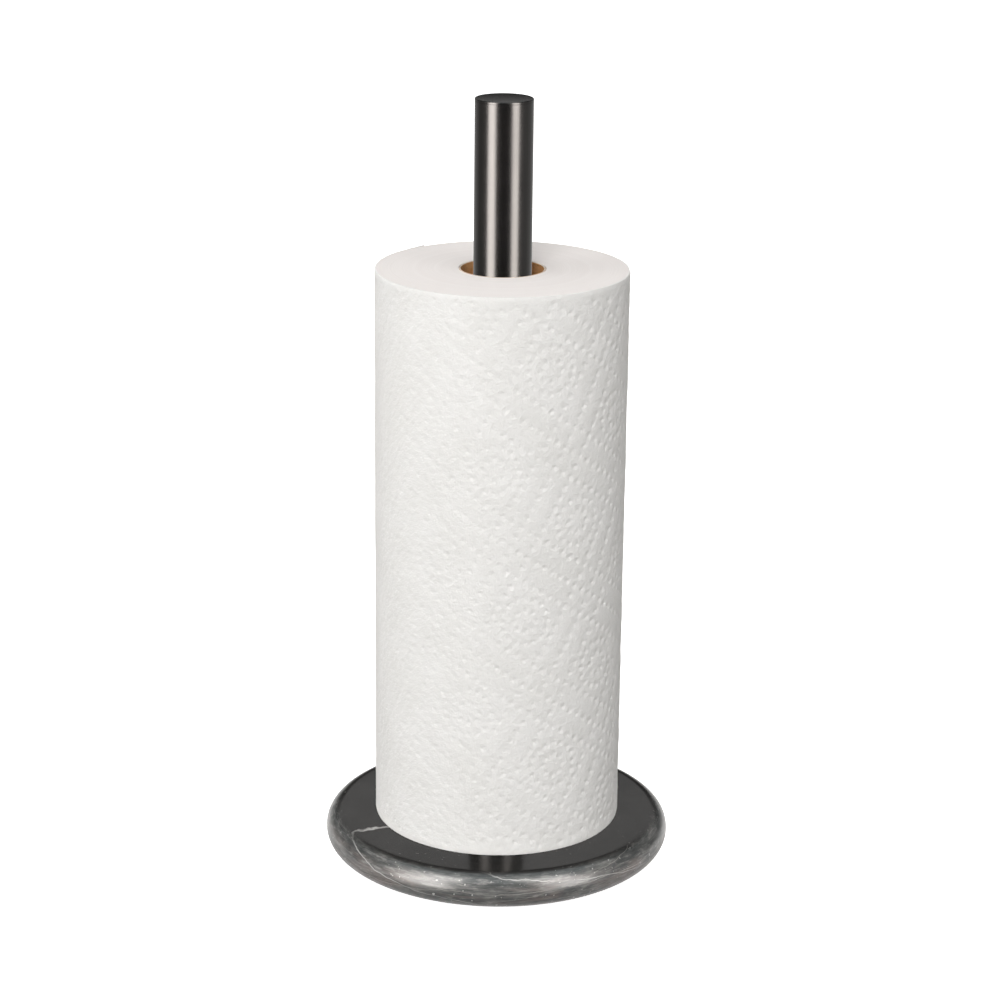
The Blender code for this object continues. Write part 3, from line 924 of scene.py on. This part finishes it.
def marble_material():
    """Dark stone: a polished, nearly plain top, and a rougher honed edge with streaks, thin pale veins and
    specks. The edge's colour is lighter and cooler than the top's, partly a painted cool sheen from the light
    above, and its lower part carries a painted warm reflection over pinkish patches.
    """
    material = new_material("Marble", (0.02, 0.019, 0.018), 0.2, Specular_IOR_Level=0.5)
    plain = scaled_place(material)
    upward = upwardness(material)
    # How far the surface has turned from facing up: where the edge is rougher, and where its colour takes a
    # painted cool sheen
    honed_and_painted_sheen = remapped(material, upward, 0.99, 0.80)
    # Share of the lower, downturned part of the edge, where a painted warm reflection goes
    painted_warm_sheen_share = remapped(material, upward, 0.75, 0.25)
    cloud = noise_at(material, plain, 30, 4, 0.6, 0.6)
    top = mixed(material, remapped(material, cloud, 0.3, 0.7), (0.015, 0.0145, 0.014), (0.025, 0.024, 0.023))
    streak = noise_at(material, scaled_place(material, (45, 45, 260)), 1, 5, 0.62, 0.5)
    fine = noise_at(material, scaled_place(material, (150, 150, 700)), 1, 4, 0.6)
    streaking = remapped(material, streak, 0.38, 0.62)
    # The edge's streaked tone: the streaks are the stone's own, while its cool cast and part of its lightness
    # are painted sheen from the light above
    edge = mixed(material, streaking, (0.046, 0.050, 0.049), (0.122, 0.123, 0.117))
    # Pinkish patches shown only on the lower part of the edge: partly the stone's own patches, partly a
    # painted warm reflection of the softboxes
    rosy_patches_and_warm_sheen = noise_at(material, scaled_place(material, (26, 26, 150)), 1, 4, 0.6, 0.8)
    rosy_patches_and_warm_sheen = calculated(material, "MULTIPLY", remapped(material, rosy_patches_and_warm_sheen, 0.48, 0.64, 0, 0.7), painted_warm_sheen_share)
    edge = mixed(material, rosy_patches_and_warm_sheen, edge, (0.165, 0.132, 0.120))
    edge = mixed(material, remapped(material, fine, 0.53, 0.68, 0, 0.7), edge, (0.25, 0.24, 0.23))
    edge = mixed(material, remapped(material, fine, 0.46, 0.32, 0, 0.75), edge, (0.030, 0.031, 0.030))
    thread = noise_at(material, scaled_place(material, (80, 80, 1300)), 1, 3, 0.6, 0.6)
    edge = mixed(material, remapped(material, thread, 0.56, 0.70, 0, 0.45), edge, (0.30, 0.29, 0.28))
    edge = mixed(material, remapped(material, thread, 0.44, 0.32, 0, 0.55), edge, (0.026, 0.026, 0.026))
    sway = calculated(material, "MULTIPLY", noise_at(material, plain, 28, 3), 7.0 * MM)
    jitter = calculated(material, "MULTIPLY", noise_at(material, plain, 260, 2), 0.9 * MM)
    unevenness = calculated(material, "ADD", sway, jitter)
    for vein in EDGE_VEINS:
        edge = veined(material, edge, plain, unevenness, vein)
    # The top's colour goes over to the edge's, with its painted cool sheen, where the surface turns from
    # facing up
    colour = mixed(material, honed_and_painted_sheen, top, edge)
    sideways = add_node(material, "ShaderNodeSeparateXYZ", {"Vector": plain}).outputs["X"]
    left_part = remapped(material, sideways, VEIN_FADE, 0.0)
    colour = mixed(material, left_part, colour, veined(material, colour, plain, unevenness, THROUGH_VEIN))
    speck = remapped(material, noise_at(material, plain, 480, 1), 0.715, 0.77, 0, 0.85)
    speck_share = remapped(material, honed_and_painted_sheen, 0, 1, 0.12, 1)
    colour = mixed(material, calculated(material, "MULTIPLY", speck, speck_share), colour, (0.50, 0.49, 0.47))
    polish = remapped(material, honed_and_painted_sheen, 0, 1, 0.13, 0.30)
    wear = remapped(material, noise_at(material, plain, 90, 3), 0.3, 0.7, -0.02, 0.03)
    grain = noise_at(material, plain, 900, 2)
    rough = calculated(material, "ADD", polish, wear)
    join(material, Base_Color=colour, Roughness=rough, Normal=bumped(material, grain, 0.006 * MM))
    return material


def gunmetal_material():
    """Dark plated steel, drawn lengthwise, with a very fine grain and a few tiny pale specks."""
    material = new_material("Gunmetal", (0.050, 0.048, 0.0465), 0.25, Metallic=1.0)
    plain = scaled_place(material)
    drawn = noise_at(material, scaled_place(material, (2200, 2200, 12)), 1, 3, 0.6)
    grain = noise_at(material, plain, 2600, 2)
    lines = remapped(material, drawn, 0.3, 0.7)
    colour = mixed(material, lines, (0.047, 0.045, 0.0435), (0.053, 0.051, 0.0495))
    colour = mixed(material, remapped(material, grain, 0.35, 0.65, 0, 0.35), colour, (0.036, 0.035, 0.034))
    speck = remapped(material, noise_at(material, plain, 900, 1), 0.80, 0.84, 0, 0.6)
    colour = mixed(material, speck, colour, (0.10, 0.098, 0.095))
    rough = remapped(material, noise_at(material, plain, 70, 3), 0.3, 0.7, 0.235, 0.265)
    normal = bumped(material, drawn, 0.0008 * MM)
    normal = bumped(material, grain, 0.0008 * MM, normal=normal)
    join(material, Base_Color=colour, Roughness=rough, Normal=normal)
    return material


def zinc_material():
    """Bright zinc plate, slightly blue, with a mottled finish and fine turning marks."""
    material = new_material("Zinc", (0.62, 0.64, 0.66), 0.35, Metallic=1.0)
    plain = scaled_place(material)
    mottle = noise_at(material, plain, 260, 3, 0.6)
    turning = noise_at(material, scaled_place(material, (150, 150, 4500)), 1, 2)
    colour = mixed(material, remapped(material, mottle, 0.3, 0.7), (0.55, 0.57, 0.60), (0.68, 0.69, 0.69))
    rough = remapped(material, mottle, 0.3, 0.7, 0.28, 0.45)
    join(material, Base_Color=colour, Roughness=rough, Normal=bumped(material, turning, 0.01 * MM))
    return material


def rubber_material():
    """Moulded black rubber with a fine matt grain and a little dust."""
    material = new_material("Rubber", (0.022, 0.022, 0.023), 0.75, Specular_IOR_Level=0.35)
    plain = scaled_place(material)
    dust = noise_at(material, plain, 350, 3, 0.65)
    grain = noise_at(material, plain, 2400, 2)
    dusted = remapped(material, dust, 0.5, 0.8, 0, 0.5)
    colour = mixed(material, dusted, (0.020, 0.020, 0.021), (0.075, 0.073, 0.07))
    rough = remapped(material, dust, 0.35, 0.7, 0.65, 0.85)
    join(material, Base_Color=colour, Roughness=rough, Normal=bumped(material, grain, 0.05 * MM))
    return material


def cardboard_material():
    """Brown board: fibres round the tube, flecks, and a paler cut edge at the ends."""
    material = new_material("Cardboard", (0.68, 0.34, 0.135), 0.85, Specular_IOR_Level=0.2)
    plain = scaled_place(material)
    fibre = noise_at(material, scaled_place(material, (420, 420, 1300)), 1, 4, 0.65)
    cloud = noise_at(material, plain, 80, 3)
    fleck = remapped(material, noise_at(material, plain, 900, 1), 0.68, 0.74)
    colour = mixed(material, remapped(material, cloud, 0.3, 0.7), (0.72, 0.32, 0.125), (0.79, 0.45, 0.205))
    colour = mixed(material, remapped(material, fibre, 0.35, 0.75, 0, 0.5), colour, (0.55, 0.26, 0.095))
    colour = mixed(material, calculated(material, "MULTIPLY", fleck, 0.6), colour, (0.30, 0.16, 0.07))
    cut_edge = remapped(material, calculated(material, "ABSOLUTE", upwardness(material)), 0.6, 0.8)
    colour = mixed(material, cut_edge, colour, (0.76, 0.69, 0.60))
    join(material, Base_Color=colour, Normal=bumped(material, fibre, 0.15 * MM))
    return material


def floor_material():
    """A matt pale studio floor with a barely visible mottle."""
    material = new_material("Floor", (0.93, 0.93, 0.93), 0.9, Specular_IOR_Level=0.0,
                            Emission_Color=(1, 1, 1, 1), Emission_Strength=FLOOR_GLOW)
    mottle = noise_at(material, scaled_place(material), 3, 2)
    colour = mixed(material, remapped(material, mottle, 0.3, 0.7), (0.925, 0.925, 0.925), (0.94, 0.94, 0.94))
    join(material, Base_Color=colour)
    return material


# ---------------------------------------------------------------- floor, lights and camera

def build_floor(material):
    """The floor, seen by the camera alone: it neither lights the object nor shows in it."""
    bm = bmesh.new()
    bmesh.ops.create_grid(bm, x_segments=2, y_segments=2, size=FLOOR_SIZE / 2)
    mesh = mesh_of(bm, "studio_floor")
    mesh.materials.append(material)
    floor = bpy.data.objects.new("studio_floor", mesh)
    floor.visible_glossy = False
    floor.visible_diffuse = False
    bpy.context.scene.collection.objects.link(floor)


def build_softbox(name, place, size, aim, watts, colour, mirrored):
    """A soft rectangular light facing a point. It lights either what is matt or what mirrors."""
    light = bpy.data.lights.new(name, "AREA")
    light.shape = "RECTANGLE"
    light.size, light.size_y = size
    light.energy = watts
    light.color = colour
    softbox = bpy.data.objects.new(name, light)
    softbox.location = place
    softbox.rotation_euler = (Vector(aim) - Vector(place)).to_track_quat("-Z", "Y").to_euler()
    softbox.visible_camera = False
    softbox.visible_glossy = mirrored
    softbox.visible_diffuse = not mirrored
    bpy.context.scene.collection.objects.link(softbox)


def build_lights():
    for name, bearing, level, watts in FILL_BOXES:
        angle = math.radians(bearing)
        place = (FILL_DISTANCE * math.sin(angle), -FILL_DISTANCE * math.cos(angle), level)
        build_softbox(name, place, FILL_SIZE, FILL_AIM, watts, FILL_COLOUR, mirrored=False)
    for name, place, size, aim, radiance, colour in MIRRORED_BOXES:
        watts = radiance * math.pi * size[0] * size[1]
        build_softbox(name, place, size, aim, watts, colour, mirrored=True)


def build_overhead():
    """A wide soft light from straight above."""
    sun = bpy.data.lights.new("overhead", "SUN")
    sun.energy = SUN_STRENGTH
    sun.angle = SUN_SPREAD
    overhead = bpy.data.objects.new("overhead", sun)
    overhead.visible_glossy = False
    bpy.context.scene.collection.objects.link(overhead)


def build_world():
    world = bpy.data.worlds.new("studio")
    world.use_nodes = True
    background = world.node_tree.nodes["Background"]
    background.inputs["Color"].default_value = (*WORLD_COLOUR, 1)
    background.inputs["Strength"].default_value = WORLD_STRENGTH
    world.cycles_visibility.glossy = False
    bpy.context.scene.world = world


def build_camera():
    lens = bpy.data.cameras.new("camera")
    lens.lens = CAMERA_LENS
    lens.sensor_width = SENSOR_WIDTH
    camera = bpy.data.objects.new("camera", lens)
    turn = Matrix.Rotation(math.pi / 2 - CAMERA_PITCH, 4, "X") @ Matrix.Rotation(CAMERA_ROLL, 4, "Z")
    camera.matrix_world = Matrix.Translation(CAMERA_PLACE) @ turn
    bpy.context.scene.collection.objects.link(camera)
    bpy.context.scene.camera = camera
    bpy.context.scene.view_settings.view_transform = "Standard"


def dress_cad_nodes(materials):
    """Gives the CAD nodes that stay in view the detailed material of their slot."""
    for name, slot in KEPT_NODES.items():
        for material_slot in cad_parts[name].material_slots:
            material_slot.material = materials[slot]


def build_object():
    materials = {
        "dark_marble": marble_material(),
        "gunmetal_steel": gunmetal_material(),
        "zinc_plated_steel": zinc_material(),
        "black_rubber": rubber_material(),
        "brown_cardboard": cardboard_material(),
        "white_paper": paper_material(),
    }
    build_base(materials["dark_marble"])
    build_feet(materials["black_rubber"])
    build_rings(materials)
    build_tube(materials["gunmetal_steel"])
    build_cap(materials["gunmetal_steel"])
    build_bolt(materials["zinc_plated_steel"])
    dress_cad_nodes(materials)
    build_core(materials["brown_cardboard"])
    build_outer_sheet(materials["white_paper"])
    build_wound_paper(materials["white_paper"], paper_end_material())


build_object()
build_floor(floor_material())
build_lights()
build_overhead()
build_world()
build_camera()
